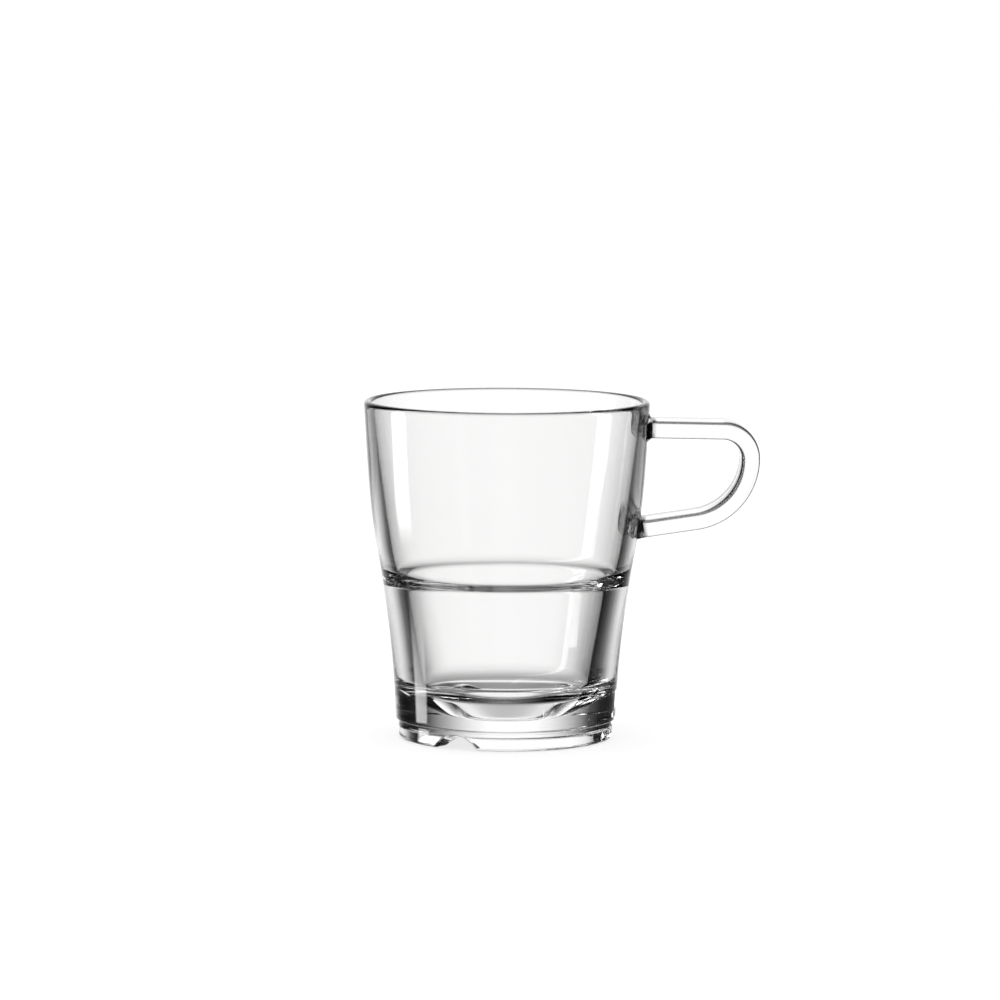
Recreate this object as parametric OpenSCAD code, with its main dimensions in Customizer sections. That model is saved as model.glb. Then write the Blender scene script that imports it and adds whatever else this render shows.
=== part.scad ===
// Cortado glass: a clear pressed-glass cup that stacks, with a flat strap handle fused to its wall.
// Millimetres, +Z up, +X toward the handle. Z = 0 is the table the foot ring stands on.

/* [Bowl outside] */
// overall height of the cup
height = 83; // [80:0.5:88]
// outside diameter at the rim
rim_d = 70; // [66:0.5:76]
// lean of the wall from upright just under the rim, in degrees
rim_lean = 4; // [2:0.5:6]
// how far in from the rim the S-curve of the wall turns over
shoulder_in = 3.35; // [2.8:0.05:4]
// height of that turn above the table
shoulder_z = 46.5; // [44:0.5:49]
// lean of the wall at the turn, in degrees
shoulder_lean = 10.5; // [9:0.5:12]
// how far in from the rim the wall is just above the mould line
waist_in = 8; // [7.2:0.1:8.8]
// lean of the wall just above the mould line, in degrees
waist_lean = 2; // [0:0.5:4]
// how far the foot band is set in below the mould line
mould_step = 0.7; // [0.3:0.1:1.2]

/* [Foot] */
// height of the foot band, up to the mould line
foot_h = 5; // [4.5:0.25:6]
// rounding of the foot band's lower edge
foot_edge = 1; // [0.5:0.1:1.5]
// width of the foot ring, from the recess to the foot band
ring_w = 4.8; // [4:0.1:7]
// depth of the recess inside the foot ring
recess_h = 2.9; // [2.5:0.1:3.2]
// rounding in the corner of the recess
recess_fillet = 0.8; // [0.4:0.1:1.4]
// number of drain notches across the foot ring
notch_count = 3; // [2:1:6]
// width of a drain notch at the table
notch_w = 11.2; // [8:0.2:12.4]
// height of a drain notch at the foot band
notch_h = 3.4; // [2.4:0.1:3.6]
// climb of a drain notch from the recess out to the foot band, in degrees
notch_tilt = 13; // [10:1:18]

/* [Bowl inside] */
// thickness of the rounded lip
lip_t = 2; // [1.6:0.1:2.6]
// lean of the inside wall at the lip, in degrees
lip_lean = 6.6; // [5:0.2:8]
// height of the stacking ledge above the table
ledge_z = 39.3; // [38:0.1:42]
// lean of the inside wall just above the ledge, in degrees
ledge_lean = 12; // [9:0.5:14]
// clearance round the foot of a like cup stacked on the ledge
stack_gap = 1.1; // [0.6:0.05:1.5]
// radius of the hollow side of the ledge's S-curve
ledge_fillet = 4.1; // [3:0.1:5]
// radius of the round side of the ledge's S-curve
ledge_edge = 2.7; // [1.6:0.1:3.2]
// how far the lower well is set in from the ledge's outer corner
ledge_w = 2.9; // [2.2:0.1:3.6]
// lean of the lower well's wall, in degrees
well_lean = 9; // [7:0.2:10]
// height of the inside floor above the table
floor_z = 5.7; // [5.2:0.1:8]
// diameter of the flat of the inside floor
floor_d = 12; // [8:0.5:16]
// radius that blends the flat floor into its sloped edge
floor_blend = 11.5; // [8:0.5:13]
// slope of the floor's edge, in degrees
floor_slope = 31.5; // [26:0.5:36]
// fillet between the sloped edge and the well's wall
floor_fillet = 6.3; // [4:0.1:7]

/* [Handle] */
// width of the strap across the handle
strap_w = 12.5; // [10:0.5:14]
// thickness of the strap
strap_t = 4.5; // [4.2:0.1:5]
// rounding of the strap's edges
strap_edge = 2; // [1:0.1:2]
// distance from the rim down to the middle of the upper arm at the wall
arm_drop = 6.7; // [6.5:0.1:9]
// slope of the upper arm, falling away from the wall, in degrees
top_slope = 1; // [0:0.5:3]
// reach of the handle beyond the rim
handle_out = 26.8; // [24:0.2:30]
// bend radius at the top of the handle, at mid thickness
crown_r = 6.9; // [5.5:0.1:8]
// bend radius down the back of the handle, at mid thickness
sweep_r = 15.45; // [14:0.05:17]
// slope of the lower arm down to the wall, in degrees
arm_slope = 8.4; // [5:0.2:11]

/* [Fused collars] */
// length of the upper collar along its arm, from the wall to the strap
upper_collar_l = 0.7; // [0.5:0.1:1.4]
// length of the lower collar along its arm, from the wall to the strap
lower_collar_l = 0.9; // [0.9:0.1:1.8]
// how far a collar flares beyond the strap at the wall
collar_flare = 1.3; // [0.8:0.1:2]
// how far the upper collar sits above the middle of its arm at the wall
upper_lift = 0.3; // [0:0.1:0.8]
// how far the lower collar sits above the middle of its arm at the wall
lower_lift = 1.1; // [0:0.1:1.4]

/* [Hidden] */
$fn = 96;
fine_fn = 288;
curve_steps = 14;
arc_steps = 8;
edge_steps = 6;
core_l = 0.5;
eps = 0.01;
bite = 3;
cut_past = 3;
rim_r = rim_d / 2;
shoulder_r = rim_r - shoulder_in;
waist_r = rim_r - waist_in;
foot_r = waist_r - mould_step;
recess_r = foot_r - ring_w;
notch_rise = notch_h * cos(notch_tilt);
notch_r = (notch_w * notch_w / 4 + notch_rise * notch_rise) / (2 * notch_rise);
rim_z = height - lip_t / 2;
lip_c = [rim_r - lip_t / 2, rim_z];
ledge_r = foot_r + stack_gap;
well_top_r = ledge_r - ledge_w;
strap_round = min(strap_edge, 0.45 * strap_t);

// one value of a cubic that leaves a with slope s and reaches b with slope e, over the run h, at t of 0 to 1
function cubic(a, b, s, e, h, t) =
    a * (1 + 2 * t) * (1 - t) * (1 - t) + b * t * t * (3 - 2 * t)
    + h * (s * t * (1 - t) * (1 - t) - e * t * t * (1 - t));

// smooth wall from point a to point b, each [radius, height], leaning by u and v degrees at its ends
function wall(a, b, u, v, n = curve_steps) =
    [for (i = [0 : n]) [cubic(a[0], b[0], tan(u), tan(v), b[1] - a[1], i / n), a[1] + (b[1] - a[1]) * i / n]];

// circular arc about c from angle u to angle v
function arc(c, r, u, v, n = arc_steps) =
    [for (i = [0 : n]) c + r * [cos(u + (v - u) * i / n), sin(u + (v - u) * i / n)]];

// an outline with points that repeat the one before them left out
function tidy(p) = [for (i = [0 : len(p) - 1]) if (i == 0 || norm(p[i] - p[max(i - 1, 0)]) > eps) p[i]];

// outside radius of the bowl at height z, between the mould line and the rim
function out_r(z) = z < shoulder_z
    ? cubic(waist_r, shoulder_r, tan(waist_lean), tan(shoulder_lean), shoulder_z - foot_h,
        (z - foot_h) / (shoulder_z - foot_h))
    : cubic(shoulder_r, rim_r, tan(shoulder_lean), tan(rim_lean), rim_z - shoulder_z,
        (z - shoulder_z) / (rim_z - shoulder_z));

// lean of that wall from upright at height z, in degrees
function out_lean(z) = atan((out_r(z + eps) - out_r(z - eps)) / (2 * eps));

// radius of the lower well's straight wall at height z
function well_r(z) = well_top_r - (ledge_z - z) * tan(well_lean);

// outside of the bowl from the table to the top of the lip
function outside() = concat(
    arc([foot_r - foot_edge, foot_edge], foot_edge, -90, 0),
    [[foot_r, foot_h - mould_step / 2]],
    wall([waist_r, foot_h], [shoulder_r, shoulder_z], waist_lean, shoulder_lean),
    wall([shoulder_r, shoulder_z], [rim_r, rim_z], shoulder_lean, rim_lean),
    arc(lip_c, lip_t / 2, 0, 90));

// the ledge's two arcs touch: the round one's centre lies on a line inside the well's wall, below ledge_c
ledge_c = [ledge_r - ledge_fillet, ledge_z + ledge_fillet];
ledge_top = ledge_c + ledge_fillet * [cos(ledge_lean), -sin(ledge_lean)];
touch_l = ledge_fillet + ledge_edge;
touch_x = well_r(ledge_c[1]) + ledge_edge / cos(well_lean) - ledge_c[0];
touch_k = 1 + tan(well_lean) * tan(well_lean);
touch_z = -(touch_x * tan(well_lean) + sqrt(touch_l * touch_l * touch_k - touch_x * touch_x)) / touch_k;
edge_c = ledge_c + [touch_x + touch_z * tan(well_lean), touch_z];
ledge_turn = atan2(edge_c[1] - ledge_c[1], edge_c[0] - ledge_c[0]);

// the floor's fillet touches the sloped edge, which starts at slope_foot, and the well's wall
slope_foot = [floor_d / 2 + floor_blend * sin(floor_slope), floor_z + floor_blend * (1 - cos(floor_slope))];
fillet_run = well_r(0) - floor_fillet / cos(well_lean) - slope_foot[0];
fillet_z = (slope_foot[1] + fillet_run * tan(floor_slope) + floor_fillet / cos(floor_slope))
    / (1 - tan(well_lean) * tan(floor_slope));
fillet_c = [well_r(fillet_z) - floor_fillet / cos(well_lean), fillet_z];

// inside of the bowl from the top of the lip down to the middle of the floor
function inside() = concat(
    arc(lip_c, lip_t / 2, 90, 180),
    wall([rim_r - lip_t, rim_z], ledge_top, lip_lean, ledge_lean),
    arc(ledge_c, ledge_fillet, -ledge_lean, ledge_turn),
    arc(edge_c, ledge_edge, ledge_turn + 180, 180 - well_lean),
    arc(fillet_c, floor_fillet, -well_lean, floor_slope - 90),
    arc([floor_d / 2, floor_z + floor_blend], floor_blend, floor_slope - 90, -90),
    [[0, floor_z]]);

// underside of the bowl from the middle of the recess out to the foot ring
function underside() = concat(
    [[0, recess_h]],
    arc([recess_r - recess_fillet, recess_h - recess_fillet], recess_fillet, 90, 0),
    [[recess_r, 0]]);

// rounded rectangle across the strap, grown by g on every side
function section(g = 0) =
    let (r = strap_round + g, y = strap_w / 2 - strap_round, t = strap_t / 2 - strap_round)
    concat(
        arc([y, t], r, 0, 90, edge_steps),
        arc([-y, t], r, 90, 180, edge_steps),
        arc([-y, -t], r, 180, 270, edge_steps),
        arc([y, -t], r, 270, 360, edge_steps));

// middle line of the strap: upper arm from the wall, crown bend, sweep bend, lower arm back to the wall
arm_z = height - arm_drop;
high_wall = [out_r(arm_z), 0, arm_z];
bend_x = rim_r + handle_out - strap_t / 2;
crown_x = bend_x - crown_r;
arm_run = crown_x + crown_r * sin(top_slope) - high_wall[0];
bend_z = arm_z - arm_run * tan(top_slope) - crown_r * cos(top_slope);
sweep_x = bend_x - sweep_r;
low_bend = [sweep_x + sweep_r * sin(arm_slope), bend_z - sweep_r * cos(arm_slope)];
// height of the lower arm's middle line at radius x; two steps of it find the wall
function low_z(x) = low_bend[1] - (low_bend[0] - x) * tan(arm_slope);
low_wall_x = out_r(low_z(out_r(low_z(shoulder_r))));
low_wall = [low_wall_x, 0, low_z(low_wall_x)];

// bowl without its hollow, which the collars are cut to
module bowl_block() {
    rotate_extrude($fn = fine_fn) polygon(tidy(concat([[0, 0]], outside(), [[0, height]])));
}

module bowl() {
    color([0.86, 0.9, 0.9, 0.35])
    difference() {
        rotate_extrude() polygon(tidy(concat(underside(), outside(), inside())));
        for (i = [0 : notch_count - 1])
            rotate([0, 0, i * 360 / notch_count])
            translate([foot_r, 0, notch_h - notch_r / cos(notch_tilt)])
            rotate([0, 90 - notch_tilt, 0])
            translate([0, 0, -ring_w - cut_past])
            cylinder(r = notch_r, h = ring_w + 2 * cut_past);
    }
}

// slimmer length of strap along +Z inside one of the strap's bends and arms, which makes them one solid
module core() {
    translate([0, 0, -core_l])
    linear_extrude(2 * core_l) polygon(section(-core_l));
}

// straight length of strap along +X from a collar that ends at c to l, with the core of its joint to the bend
module arm(c, l) {
    rotate([90, 0, 90]) {
        translate([0, 0, c])
        linear_extrude(l - c) polygon(section());
        translate([0, 0, l])
        core();
    }
}

// strap bent to radius r about +Y, from angle u to angle v above +X
module bend(r, u, v) {
    rotate([90, 0, 0])
    rotate([0, 0, u])
    rotate_extrude(angle = v - u) translate([r, 0]) rotate(90) polygon(section());
}

module handle() {
    color([0.86, 0.9, 0.9, 0.35]) {
        translate(high_wall) rotate([0, top_slope, 0]) arm(upper_collar_l, arm_run / cos(top_slope));
        translate([crown_x, 0, bend_z]) bend(crown_r, 0, 90 - top_slope);
        translate([sweep_x, 0, bend_z]) bend(sweep_r, arm_slope - 90, 0);
        translate([bend_x, 0, bend_z]) rotate([0, 0, 90]) core();
        translate(low_wall) rotate([0, -arm_slope, 0])
        arm(lower_collar_l, (low_bend[0] - low_wall_x) / cos(arm_slope));
    }
}

// flared collar about +X from a wall of radius r that leans by u degrees from square to the arm.
// It starts with the strap's section at x = c, reaches the wall wider by collar_flare and raised by lift,
// and runs on into the wall, where the caller cuts it
module flare(c, r, u, lift) {
    wide = [for (p = section(collar_flare)) [p[0], p[1] + lift]];
    n = len(wide);
    points = concat(
        [for (p = section()) [c, p[0], p[1]]],
        [for (p = wide) [p[1] * tan(u) - p[0] * p[0] / (2 * r), p[0], p[1]]],
        [for (p = wide) [-bite, p[0], p[1]]]);
    sides = [for (j = [0, n]) for (i = [0 : n - 1]) let (a = j + i, b = j + (i + 1) % n)
        each [[a, a + n, b + n], [a, b + n, b]]];
    strap_end = [for (i = [0 : n - 1]) i];
    wall_end = [for (i = [n - 1 : -1 : 0]) 2 * n + i];
    polyhedron(points, concat(sides, [strap_end, wall_end]));
}

module upper_collar() {
    color([0.86, 0.9, 0.9, 0.35])
    difference() {
        translate(high_wall) rotate([0, top_slope, 0])
        flare(upper_collar_l, high_wall[0], out_lean(arm_z) - top_slope, upper_lift);
        bowl_block();
    }
}

module lower_collar() {
    color([0.86, 0.9, 0.9, 0.35])
    difference() {
        translate(low_wall) rotate([0, -arm_slope, 0])
        flare(lower_collar_l, low_wall_x, out_lean(low_wall[2]) + arm_slope, lower_lift);
        bowl_block();
    }
}

bowl();
handle();
upper_collar();
lower_collar();
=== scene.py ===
import math

import bpy
import numpy as np
from mathutils import Matrix, Vector


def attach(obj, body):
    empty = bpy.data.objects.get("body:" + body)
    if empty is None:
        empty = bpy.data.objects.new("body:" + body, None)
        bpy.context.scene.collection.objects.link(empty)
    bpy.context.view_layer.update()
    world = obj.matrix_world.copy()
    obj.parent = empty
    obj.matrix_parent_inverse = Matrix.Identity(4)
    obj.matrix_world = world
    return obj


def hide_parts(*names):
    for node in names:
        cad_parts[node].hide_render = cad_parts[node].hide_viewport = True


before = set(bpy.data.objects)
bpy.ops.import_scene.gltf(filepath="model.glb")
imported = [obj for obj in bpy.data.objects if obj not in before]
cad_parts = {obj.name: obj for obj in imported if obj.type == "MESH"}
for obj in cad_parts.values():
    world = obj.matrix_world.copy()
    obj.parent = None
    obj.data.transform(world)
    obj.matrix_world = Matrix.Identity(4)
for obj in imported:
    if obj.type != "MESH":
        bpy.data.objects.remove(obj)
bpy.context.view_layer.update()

# Bowl: the cup's body, of clear soda-lime glass pressed in one gather between a mould and a plunger.
# The plunger leaves the stacking ledge and the dished floor inside, the mould the S-curved wall and the foot.
# The lip is fire polished round, and three shallow notches across the foot ring let rinse water drain away.
HEIGHT = 83.0
RIM_R = 35.0
RIM_LEAN = 4.0
SHOULDER = (31.65, 46.5)
SHOULDER_LEAN = 10.5
WAIST = (27.0, 5.0)
WAIST_LEAN = 2.0
FOOT_R = 26.3
FOOT_EDGE = 1.0
BAND_TOP = 4.55
RECESS_R = 21.5
RECESS_H = 2.9
RECESS_FILLET = 0.8
RECESS_EDGE = 0.4
NOTCHES = 3
NOTCH_W = 11.2
NOTCH_H = 3.4
NOTCH_TILT = 13.0
NOTCH_SOFT = 0.3
LIP_T = 2.0
LIP_LEAN = 6.6
LEDGE_Z = 39.3
LEDGE_R = 27.4
LEDGE_LEAN = 12.0
LEDGE_HOLLOW = 4.1
LEDGE_ROUND = 2.7
WELL_TOP_R = 24.5
WELL_LEAN = 9.0
FLOOR_Z = 5.7
FLOOR_R = 6.0
FLOOR_BLEND = 11.5
FLOOR_SLOPE = 31.5
FLOOR_FILLET = 6.3
BOWL_COLUMNS = 288
COLUMN_CROWDING = 0.55
GLASS_INDEX = 1.5
ROLL_SCALE = 70.0
ROLL_STRENGTH = 0.03
PATCH_SCALE = 25.0
CLOUDING = 0.004
CLOUDY_TONE = (0.99, 0.99, 0.985, 1)
CLEAR_TONE = (1, 1, 1, 1)


def slope(degrees):
    """Sideways run for one unit of height of a line leaning by that angle from upright."""
    return math.tan(math.radians(degrees))


def on_circle(centre, radius, degrees):
    """Points (radius, height) at the given angles of a circle: centre plus radius times cosine and sine."""
    angle = np.radians(degrees)
    return np.stack([centre[0] + radius * np.cos(angle), centre[1] + radius * np.sin(angle)], -1)


def arc(centre, radius, start, stop, count):
    """Evenly spaced points of a circle from the start angle to the stop angle, in degrees."""
    return on_circle(centre, radius, np.linspace(start, stop, count))


def line(start, stop, count):
    """Evenly spaced points between two points, without either end."""
    share = np.linspace(0, 1, count + 2)[1:-1, None]
    return np.array(start) * (1 - share) + np.array(stop) * share


def lean_curve(low, high, low_lean, high_lean, z):
    """Radius at heights z of the cubic through two (radius, height) points with a given lean at each:
    the two radii and the two leans, each weighted by its Hermite polynomial of the share of the height."""
    rise = high[1] - low[1]
    t = (z - low[1]) / rise
    ends = low[0] * (1 + 2 * t) * (1 - t) ** 2 + high[0] * t * t * (3 - 2 * t)
    return ends + rise * (slope(low_lean) * t * (1 - t) ** 2 - slope(high_lean) * t * t * (1 - t))


def outside_radius(z):
    """Outside radius of the wall at heights z: one cubic from waist to shoulder, one from shoulder to rim."""
    lower = lean_curve(WAIST, SHOULDER, WAIST_LEAN, SHOULDER_LEAN, z)
    upper = lean_curve(SHOULDER, (RIM_R, HEIGHT - LIP_T / 2), SHOULDER_LEAN, RIM_LEAN, z)
    return np.where(z < SHOULDER[1], lower, upper)


def well_radius(z):
    """Radius at height z of the lower well's straight leaning wall."""
    return WELL_TOP_R - (LEDGE_Z - z) * slope(WELL_LEAN)


def underside_profile():
    """(radius, height) from the middle of the recess out to the flat of the foot ring."""
    fillet = arc((RECESS_R - RECESS_FILLET, RECESS_H - RECESS_FILLET), RECESS_FILLET, 90, 0, 9)
    edge = arc((RECESS_R + RECESS_EDGE, RECESS_EDGE), RECESS_EDGE, 180, 270, 6)
    ceiling = line((0, RECESS_H), fillet[0], 9)
    ring = line(edge[-1], (FOOT_R - FOOT_EDGE, 0), 6)
    return np.concatenate([ceiling, fillet, edge, ring])


def outside_profile():
    """(radius, height) from the foot ring's outer edge up the band, over the mould line and up the wall."""
    edge = arc((FOOT_R - FOOT_EDGE, FOOT_EDGE), FOOT_EDGE, -90, 0, 10)
    band = line(edge[-1], (FOOT_R, BAND_TOP), 5)
    share = np.linspace(0, 1, 9)[:-1]
    step_r = FOOT_R + (WAIST[0] - FOOT_R) * share * share * (3 - 2 * share)
    step = np.stack([step_r, BAND_TOP + (WAIST[1] - BAND_TOP) * share], -1)
    z = np.linspace(WAIST[1], HEIGHT - LIP_T / 2, 78)[:-1]
    return np.concatenate([edge, band, step, np.stack([outside_radius(z), z], -1)])


def inside_profile():
    """(radius, height) over the round lip, down the inside wall, round the ledge's hollow and its round edge,
    which are two arcs that touch, down the well, and in over the dished floor to its middle."""
    lip = arc((RIM_R - LIP_T / 2, HEIGHT - LIP_T / 2), LIP_T / 2, -RIM_LEAN, 180 - LIP_LEAN, 24)
    hollow_at = np.array([LEDGE_R - LEDGE_HOLLOW, LEDGE_Z + LEDGE_HOLLOW])
    reach = LEDGE_HOLLOW + LEDGE_ROUND
    tilt = slope(WELL_LEAN)
    across = well_radius(hollow_at[1]) + LEDGE_ROUND / math.cos(math.radians(WELL_LEAN)) - hollow_at[0]
    stretch = 1 + tilt * tilt
    down = -(across * tilt + math.sqrt(reach * reach * stretch - across * across)) / stretch
    round_at = hollow_at + np.array([across + down * tilt, down])
    turn = math.degrees(math.atan2(down, across + down * tilt))
    hollow = arc(hollow_at, LEDGE_HOLLOW, -LEDGE_LEAN, turn, 18)
    rounded = arc(round_at, LEDGE_ROUND, turn + 180, 180 - WELL_LEAN, 16)[1:]
    z = np.linspace(lip[-1, 1], hollow[0, 1], 42)[1:-1]
    wall = np.stack([lean_curve(hollow[0], lip[-1], LEDGE_LEAN, LIP_LEAN, z), z], -1)
    blend = arc((FLOOR_R, FLOOR_Z + FLOOR_BLEND), FLOOR_BLEND, FLOOR_SLOPE - 90, -90, 14)
    rise = slope(FLOOR_SLOPE)
    run = well_radius(0) - FLOOR_FILLET / math.cos(math.radians(WELL_LEAN)) - blend[0, 0]
    lift = FLOOR_FILLET / math.cos(math.radians(FLOOR_SLOPE))
    fillet_z = (blend[0, 1] + run * rise + lift) / (1 - tilt * rise)
    fillet_r = well_radius(fillet_z) - FLOOR_FILLET / math.cos(math.radians(WELL_LEAN))
    fillet = arc((fillet_r, fillet_z), FLOOR_FILLET, -WELL_LEAN, FLOOR_SLOPE - 90, 16)
    well = line(rounded[-1], fillet[0], 24)
    sloped = line(fillet[-1], blend[0], 6)
    floor = line(blend[-1], (0, FLOOR_Z), 10)
    return np.concatenate([lip, wall, hollow, rounded, well, fillet, sloped, blend, floor])


def bowl_rings():
    """The profile turned about the axis: each point's circle, its columns crowded towards the notches. The
    foot is then pressed up into the notches: a round arch across the ring that climbs outward, its foot
    softened by a smooth maximum with zero, lifts the ring's heights in proportion, down to nothing at the
    recess's ceiling or the band's top."""
    under, outer, inner = underside_profile(), outside_profile(), inside_profile()
    profile = np.concatenate([under, outer, inner])
    radius, height = profile[:, :1], profile[:, 1:]
    even = np.linspace(0, 2 * np.pi, BOWL_COLUMNS, endpoint=False)[None]
    angle = even - COLUMN_CROWDING / NOTCHES * np.sin(NOTCHES * even)
    pitch = 2 * np.pi / NOTCHES
    aside = radius * np.sin((angle + pitch / 2) % pitch - pitch / 2)
    arch_r = (NOTCH_W ** 2 / 4 + NOTCH_H ** 2) / (2 * NOTCH_H)
    arch = NOTCH_H - arch_r + np.sqrt(np.maximum(arch_r ** 2 - aside ** 2, 0))
    arch = arch - (FOOT_R - radius) * slope(NOTCH_TILT)
    arch = NOTCH_SOFT * np.logaddexp(0, arch / NOTCH_SOFT)
    row = np.arange(len(profile))[:, None]
    top = np.where(row < len(under), RECESS_H, BAND_TOP)
    pressed = (row < len(under) + len(outer)) & (height < top)
    lifted = np.where(pressed, height + arch * (1 - height / top), height)
    return np.stack([radius * np.cos(angle), radius * np.sin(angle), lifted], -1)


def closed_skin(name, rings, first_tip, last_tip, joints=(0, 0)):
    """Closed mesh through a stack of rings of points in millimetres: a quad between neighbours on
    neighbouring rings, and a fan of triangles from each end ring to its tip. Vertices are stored in metres.
    The joints are the rows of faces at each end, its fan included, that were fused to another piece and have
    no surface of their own."""
    rows, columns = rings.shape[:2]
    here = np.arange(rows * columns).reshape(rows, columns)
    beside = np.roll(here, -1, axis=1)
    quads = np.stack([here[:-1], beside[:-1], beside[1:], here[1:]], -1).reshape(-1, 4)
    tip = np.full(columns, rows * columns)
    first_fan = np.stack([tip, beside[0], here[0]], -1)
    last_fan = np.stack([tip + 1, here[-1], beside[-1]], -1)
    points = np.concatenate([rings.reshape(-1, 3), [first_tip, last_tip]]) / 1000
    mesh = bpy.data.meshes.new(name)
    mesh.from_pydata(points.tolist(), [], quads.tolist() + first_fan.tolist() + last_fan.tolist())
    row = np.concatenate([np.repeat(np.arange(1, rows), columns), np.zeros(columns), np.full(columns, rows)])
    fused = (row < joints[0]) | (row > rows - joints[1])
    mesh.polygons.foreach_set("use_smooth", ~fused)
    mesh.attributes.new("fused", "FLOAT", "FACE").data.foreach_set("value", fused.astype(np.float32))
    piece = bpy.data.objects.new(name, mesh)
    bpy.context.scene.collection.objects.link(piece)
    return piece


class Value:
    """A socket of a node tree. Sums on it add Math nodes, and node() adds a node of any other type."""

    def __init__(self, tree, socket=None):
        self.tree = tree
        self.socket = socket

    def node(self, kind, settings, inputs, output=0):
        """Adds a node: its settings first, with a ramp's stops as (place, level) pairs, then its sockets."""
        made = self.tree.nodes.new(kind)
        for key, value in settings.items():
            if key != "stops":
                setattr(made, key, value)
        stops = settings.get("stops", [])
        for place, level in stops[1:-1]:
            made.color_ramp.elements.new(place)
        for stop, (place, level) in zip(made.color_ramp.elements if stops else [], stops):
            stop.position = place
            stop.color = (level, level, level, 1)
        for key, value in inputs.items():
            if isinstance(value, Value):
                self.tree.links.new(value.socket, made.inputs[key])
            else:
                made.inputs[key].default_value = value
        return Value(self.tree, made.outputs[output] if len(made.outputs) else None)

    def math(self, operation, first, second):
        """Adds a Math node on two values, each a Value or a number."""
        return self.node("ShaderNodeMath", {"operation": operation}, {0: first, 1: second})

    def __add__(self, other):
        return self.math("ADD", self, other)

    def __radd__(self, other):
        return self.math("ADD", other, self)

    def __sub__(self, other):
        return self.math("SUBTRACT", self, other)

    def __rsub__(self, other):
        return self.math("SUBTRACT", other, self)

    def __mul__(self, other):
        return self.math("MULTIPLY", self, other)

    def __rmul__(self, other):
        return self.math("MULTIPLY", other, self)


def new_material(name):
    """An empty material, and the Value that adds its nodes."""
    material = bpy.data.materials.new(name)
    material.use_nodes = True
    material.node_tree.nodes.clear()
    return material, Value(material.node_tree)


def clear_glass():
    """Pressed glass: full transmission at index 1.5. Slow noise gives the surface the slight roll that the
    cooling mould leaves, and faint cloudier patches where it was handled. Faces fused to another piece let
    light straight through."""
    material, maker = new_material("clear_glass")
    place = maker.node("ShaderNodeTexCoord", {}, {}, "Object")
    roll = maker.node("ShaderNodeTexNoise", {}, {"Vector": place, "Scale": ROLL_SCALE, "Detail": 1.0})
    patch = maker.node("ShaderNodeTexNoise", {}, {"Vector": place, "Scale": PATCH_SCALE, "Detail": 2.0})
    tone = maker.node("ShaderNodeMix", {"data_type": "RGBA"}, {
        "Factor": patch, 6: CLOUDY_TONE, 7: CLEAR_TONE}, 2)
    bump = maker.node("ShaderNodeBump", {}, {"Height": roll, "Strength": ROLL_STRENGTH, "Distance": 0.001})
    glass = maker.node("ShaderNodeBsdfPrincipled", {}, {
        "Base Color": tone, "Roughness": patch * CLOUDING, "Normal": bump,
        "IOR": GLASS_INDEX, "Transmission Weight": 1.0})
    joint = maker.node("ShaderNodeAttribute", {"attribute_name": "fused"}, {}, "Fac")
    clear = maker.node("ShaderNodeBsdfTransparent", {}, {})
    surface = maker.node("ShaderNodeMixShader", {}, {0: joint, 1: glass, 2: clear})
    maker.node("ShaderNodeOutputMaterial", {}, {"Surface": surface})
    return material


glass = clear_glass()
bowl = closed_skin("bowl_glass", bowl_rings(), (0, 0, RECESS_H), (0, 0, FLOOR_Z))
bowl.data.materials.append(glass)
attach(bowl, "root")
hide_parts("bowl")

# Handle: one flat strap of the same glass, drawn with rounded edges and bent hot into a D.
# It leaves the wall almost level, turns down in a tight crown and comes back in one wide sweep.
# Both ends stop in the collars where they were fused on.
STRAP_W = 12.5
STRAP_T = 4.5
STRAP_EDGE = 2.0
ARM_Z = 76.3
TOP_SLOPE = 1.0
REACH_X = 61.8
CROWN_R = 6.9
SWEEP_R = 15.45
ARM_SLOPE = 8.4
UPPER_L = 0.7
LOWER_L = 0.9
FUSED = 0.05


def strap_section(grow):
    """Points (across, outward) round the strap, grown by that much: a quarter circle at each corner."""
    side, face = STRAP_W / 2 - STRAP_EDGE, STRAP_T / 2 - STRAP_EDGE
    corners = [(side, face, 0), (-side, face, 90), (-side, -face, 180), (side, -face, 270)]
    flats = [arc((y, t), STRAP_EDGE + grow, turn, turn + 90, 9) for y, t, turn in corners]
    return np.concatenate(flats)


HIGH_WALL = (float(outside_radius(np.array(ARM_Z))), ARM_Z)
CROWN_X = REACH_X - STRAP_T / 2 - CROWN_R
ARM_RUN = CROWN_X + CROWN_R * math.sin(math.radians(TOP_SLOPE)) - HIGH_WALL[0]
BEND_Z = ARM_Z - ARM_RUN * slope(TOP_SLOPE) - CROWN_R * math.cos(math.radians(TOP_SLOPE))
SWEEP_X = REACH_X - STRAP_T / 2 - SWEEP_R
LOW_BEND = on_circle((SWEEP_X, BEND_Z), SWEEP_R, ARM_SLOPE - 90)


def low_arm_point(x):
    """Point of the lower arm's middle line at that distance from the axis."""
    return np.array([x, LOW_BEND[1] - (LOW_BEND[0] - x) * slope(ARM_SLOPE)])


LOW_WALL = low_arm_point(SHOULDER[0])
for step in range(4):
    LOW_WALL = low_arm_point(float(outside_radius(LOW_WALL[1])))


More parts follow.
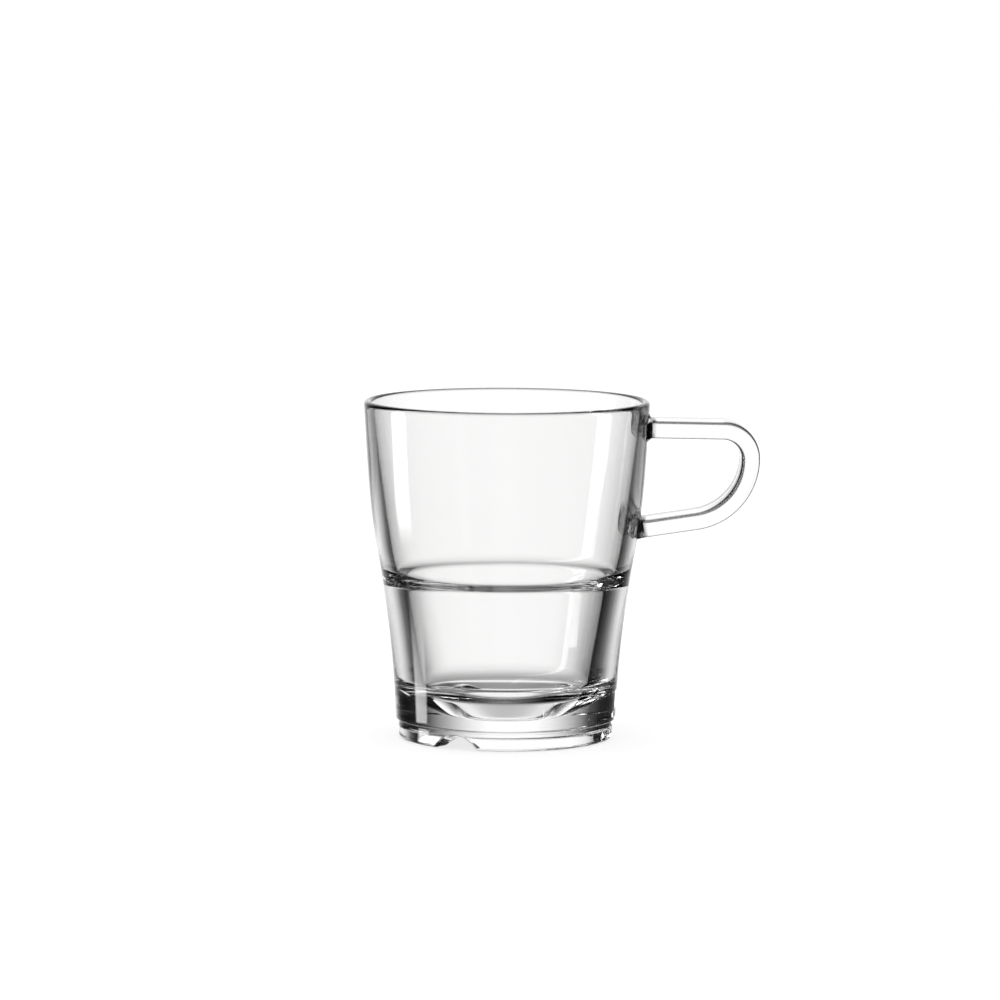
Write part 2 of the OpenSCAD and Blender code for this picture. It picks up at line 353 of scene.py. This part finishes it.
def handle_rings():
    """The strap's section carried along its middle line in the XZ plane, which is the upper arm, the crown's
    arc, the sweep's arc and the lower arm. Each section stands square to the line: across is Y, outward the
    line's direction turned a quarter."""
    high_dir = np.array([math.cos(math.radians(TOP_SLOPE)), -math.sin(math.radians(TOP_SLOPE))])
    low_dir = -np.array([math.cos(math.radians(ARM_SLOPE)), math.sin(math.radians(ARM_SLOPE))])
    crown = np.linspace(90 - TOP_SLOPE, 0, 40)
    sweep = np.linspace(0, ARM_SLOPE - 90, 64)[1:]
    crown_line = on_circle((CROWN_X, BEND_Z), CROWN_R, crown)
    sweep_line = on_circle((SWEEP_X, BEND_Z), SWEEP_R, sweep)
    start = np.array(HIGH_WALL) + UPPER_L * high_dir
    stop = LOW_WALL - LOWER_L * low_dir
    high_line = np.concatenate([start[None], line(start, crown_line[0], 12)])
    low_line = np.concatenate([line(sweep_line[-1], stop, 8), stop[None]])
    middle = np.concatenate([high_line, crown_line, sweep_line, low_line])
    bend = np.radians(np.concatenate([crown, sweep]))
    along = np.concatenate([
        np.tile(high_dir, (len(high_line), 1)),
        np.stack([np.sin(bend), -np.cos(bend)], -1),
        np.tile(low_dir, (len(low_line), 1))])
    section = strap_section(0)
    x = middle[:, :1] - along[:, 1:] * section[:, 1]
    y = np.broadcast_to(section[:, 0], x.shape)
    z = middle[:, 1:] + along[:, :1] * section[:, 1]
    return np.stack([x, y, z], -1), middle


handle_skin, handle_line = handle_rings()
handle = closed_skin(
    "handle_strap", handle_skin, (handle_line[0, 0], 0, handle_line[0, 1]),
    (handle_line[-1, 0], 0, handle_line[-1, 1]), joints=(1, 1))
handle.data.materials.append(glass)
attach(handle, "root")
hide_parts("handle")

# Upper collar: the glass that flowed together where the hot upper arm was pushed against the bowl.
# It swells from the strap's section into a flare that follows the wall, with no line left between them.
COLLAR_FLARE = 1.3
UPPER_LIFT = 0.3
STRAP_FACE_ROWS = 8


def to_wall(points, axis, depth):
    """Points slid along the arm's axis onto the bowl's outside, sunk by depth: each step moves a point back
    by how far its radius is over the wall's at its height."""
    slid = points
    for step in range(12):
        radius = np.hypot(slid[..., 0], slid[..., 1])
        over = radius - outside_radius(slid[..., 2]) + depth
        slid = slid - axis * (over / axis[0])[..., None]
    return slid


def collar_rings(wall_point, tilt, length, lift):
    """Rings from the middle of the wall face out to its edge, along the flare to the strap, and in to the
    middle of the strap's end. The flare grows straight with the way to the wall, so that it leaves the strap
    at a crisp corner. Its wall end sits higher than the strap by lift."""
    axis = np.array([math.cos(math.radians(tilt)), 0, math.sin(math.radians(tilt))])
    outward = np.array([-axis[2], 0, axis[0]])
    base = np.array([wall_point[0], 0, wall_point[1]]) + length * axis

    def placed(section):
        """Section points (across, outward) at the strap's end: the base, plus each times its direction."""
        return base + section[..., :1] * np.array([0, 1, 0]) + section[..., 1:] * outward

    way = np.linspace(1, 0, 20)[:, None]
    plain, widest = strap_section(0), strap_section(COLLAR_FLARE) + np.array([0, lift])
    grown = placed(plain + (widest - plain) * way[..., None])
    flare = grown + (to_wall(grown, axis, 0) - grown) * way[..., None]
    inner = np.linspace(0.06, 1, 14)[:, None, None]
    middle = np.array([0, lift])
    wall_face = to_wall(placed(middle + (widest - middle) * inner), axis, FUSED)
    strap_face = placed(plain * np.linspace(1, 0.1, STRAP_FACE_ROWS)[1:, None, None])
    tips = to_wall(placed(middle[None]), axis, FUSED)[0], base
    return np.concatenate([wall_face, flare, strap_face]), *tips


upper_skin = collar_rings(HIGH_WALL, -TOP_SLOPE, UPPER_L, UPPER_LIFT)
upper_collar = closed_skin("upper_collar_flare", *upper_skin, joints=(0, STRAP_FACE_ROWS))
upper_collar.data.materials.append(glass)
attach(upper_collar, "root")
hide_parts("upper_collar")

# Lower collar: the same swelling of glass at the foot of the handle.
# It meets a part of the wall that leans more, so its lower side is a little longer.
LOWER_LIFT = 1.1
lower_skin = collar_rings(LOW_WALL, ARM_SLOPE, LOWER_L, LOWER_LIFT)
lower_collar = closed_skin("lower_collar_flare", *lower_skin, joints=(0, STRAP_FACE_ROWS))
lower_collar.data.materials.append(glass)
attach(lower_collar, "root")
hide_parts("lower_collar")

# Table and light: a pale table lit softly from above, in a white room.
# Glass shows only what stands round it, so a wide tent does that: a glowing screen behind the cup, dark
# cards at its sides and over it, and one lit strip at the left. It goes with the camera, as on a turntable.
# Below the horizon the tent takes the table's place for the glass, and it grows dimmer steeply downward:
# painted shade of the table under the cup.
TABLE_R = 3.0
TABLE_DROP = 0.0001
TABLE_PAINT = (0.22, 0.22, 0.22, 1)
TABLE_GLOW = 0.78
TENT_R = 30.0
SCREEN = 1.1
STRIP = 8.5
STRIP_LEFT = (-89, -85)
STRIP_RIGHT = (-72, -67)
STRIP_FOOT = (-19, -11)
STRIP_RISE = (-14, 0)
STRIP_NARROWING = 6
STRIP_DIMMING = 0.5
BELOW = 0.13
BELOW_EDGE = (-82, -55)
AROUND = [(-180, .12), (-140, .12), (-120, .02), (-68, .008), (-55, .006), (-45, .014), (-35, .085),
          (-25, .48), (-15, .9), (-8, 1.1), (8, 1.1), (15, .88), (25, .43), (35, .11), (45, .015),
          (55, .004), (120, .004), (150, .01), (170, .06), (180, .12)]
# Level by height: dark cards overhead, and below the horizon painted shade, dimmer steeply downward where the
# table lies in the cup's shadow.
UPRIGHT_WITH_PAINTED_SHADE = [(-90, .07), (-75, .12), (-60, .15), (-45, .36), (-35, .53), (-25, .86), (-15, 1), (40, 1),
           (60, .35), (75, .08), (90, .03)]
LAMP_SPREAD = 60.0
LAMP_ENERGY = 1.4


def disc(name, radius, z):
    """Flat ring of points about the axis, filled as one face."""
    angle = np.linspace(0, 2 * np.pi, 64, endpoint=False)
    points = np.stack([radius * np.cos(angle), radius * np.sin(angle), np.full(64, z)], -1)
    mesh = bpy.data.meshes.new(name)
    mesh.from_pydata(points.tolist(), [], [list(range(64))])
    made = bpy.data.objects.new(name, mesh)
    bpy.context.scene.collection.objects.link(made)
    return made


table = disc("table", TABLE_R, -TABLE_DROP)
table_finish, maker = new_material("pale_table")
paint = maker.node("ShaderNodeBsdfDiffuse", {}, {"Color": TABLE_PAINT})
lit = maker.node("ShaderNodeEmission", {}, {"Strength": TABLE_GLOW})
both = maker.node("ShaderNodeAddShader", {}, {0: paint, 1: lit})
maker.node("ShaderNodeOutputMaterial", {}, {"Surface": both})
table.data.materials.append(table_finish)
table.visible_glossy = False
table.visible_transmission = False

turn = np.linspace(0, 2 * np.pi, 48, endpoint=False)[None]
tip = np.linspace(-np.pi / 2, np.pi / 2, 26)[1:-1, None]
tent_rings = np.stack([np.cos(tip) * np.cos(turn), np.cos(tip) * np.sin(turn), np.sin(tip) + 0 * turn], -1)
tent = closed_skin("tent", tent_rings * TENT_R * 1000, (0, 0, -TENT_R * 1000), (0, 0, TENT_R * 1000))
tent_glow, maker = new_material("tent_glow")
place = maker.node("ShaderNodeTexCoord", {}, {}, "Object")
toward = maker.node("ShaderNodeVectorMath", {"operation": "NORMALIZE"}, {0: place})
split = maker.node("ShaderNodeSeparateXYZ", {}, {0: toward})
east, north, up = [Value(maker.tree, s) for s in split.socket.node.outputs]
heading = maker.math("ARCTAN2", east, north) * (180 / math.pi)
lift = maker.math("ARCSINE", up, 0) * (180 / math.pi)


def level_by(angle, span, stops, peak):
    """Piecewise straight level by angle in degrees, from -span to span."""
    places = [((a + span) / (2 * span), level / peak) for a, level in stops]
    share = angle * (0.5 / span) + 0.5
    return maker.node("ShaderNodeValToRGB", {"stops": places}, {"Fac": share}) * peak


def fade(angle, span):
    """Smooth rise from 0 at the span's first angle to 1 at its last, in degrees."""
    return maker.node("ShaderNodeMapRange", {"interpolation_type": "SMOOTHSTEP"}, {
        "Value": angle, "From Min": span[0], "From Max": span[1]})


rise = fade(lift, STRIP_RISE)
strip = fade(heading, STRIP_LEFT) * (1 - fade(heading + STRIP_NARROWING * rise, STRIP_RIGHT))
strip = strip * fade(lift, STRIP_FOOT) * (1 - STRIP_DIMMING * rise) * STRIP
below = (1 - fade(lift, BELOW_EDGE)) * BELOW
level = level_by(heading, 180, AROUND, SCREEN) * level_by(lift, 90, UPRIGHT_WITH_PAINTED_SHADE, 1) + strip + below
glow = maker.node("ShaderNodeEmission", {}, {"Strength": level})
maker.node("ShaderNodeOutputMaterial", {}, {"Surface": glow})
tent.data.materials.append(tent_glow)
tent_glow.cycles.emission_sampling = "NONE"
tent.visible_camera = False
tent.visible_diffuse = False
tent.visible_shadow = False

lamp_data = bpy.data.lights.new("soft_overhead", "SUN")
lamp_data.angle = math.radians(LAMP_SPREAD)
lamp_data.energy = LAMP_ENERGY
lamp = bpy.data.objects.new("soft_overhead", lamp_data)
lamp.visible_glossy = False
lamp.visible_transmission = False
bpy.context.scene.collection.objects.link(lamp)

world = bpy.data.worlds.new("white_room")
world.use_nodes = True
world.node_tree.nodes["Background"].inputs["Color"].default_value = (1, 1, 1, 1)
world.node_tree.nodes["Background"].inputs["Strength"].default_value = 1.0
bpy.context.scene.world = world

# Camera: a long lens that looks slightly down from a little above the rim, with the handle to the right.
# Light may cross the thick base many times before it leaves, so its rays get enough bounces.
CAMERA_RANGE = 1.4
CAMERA_TURN = math.radians(2.0)
CAMERA_Z = 0.211
AIM = Vector((-0.0016, 0, 0.0584))
ROLL = math.radians(0.25)
LENS = 207.0
SENSOR_W = 36.0
NEAR = 0.01
FAR = 100.0
BOUNCES = 24
GLOSSY_BOUNCES = 12
camera_data = bpy.data.cameras.new("camera")
camera_data.lens = LENS
camera_data.sensor_width = SENSOR_W
camera_data.clip_start = NEAR
camera_data.clip_end = FAR
camera = bpy.data.objects.new("camera", camera_data)
bpy.context.scene.collection.objects.link(camera)
camera.location = (-CAMERA_RANGE * math.sin(CAMERA_TURN), -CAMERA_RANGE * math.cos(CAMERA_TURN), CAMERA_Z)
look = (AIM - camera.location).to_track_quat("-Z", "Y").to_matrix()
camera.rotation_euler = (look @ Matrix.Rotation(ROLL, 3, "Z")).to_euler()
bpy.context.scene.camera = camera
bpy.context.view_layer.update()
tent.parent = camera
tent.matrix_parent_inverse = camera.matrix_world.inverted()
bpy.context.scene.view_settings.view_transform = "Standard"
bpy.context.scene.cycles.max_bounces = BOUNCES
bpy.context.scene.cycles.glossy_bounces = GLOSSY_BOUNCES
bpy.context.scene.cycles.transmission_bounces = BOUNCES
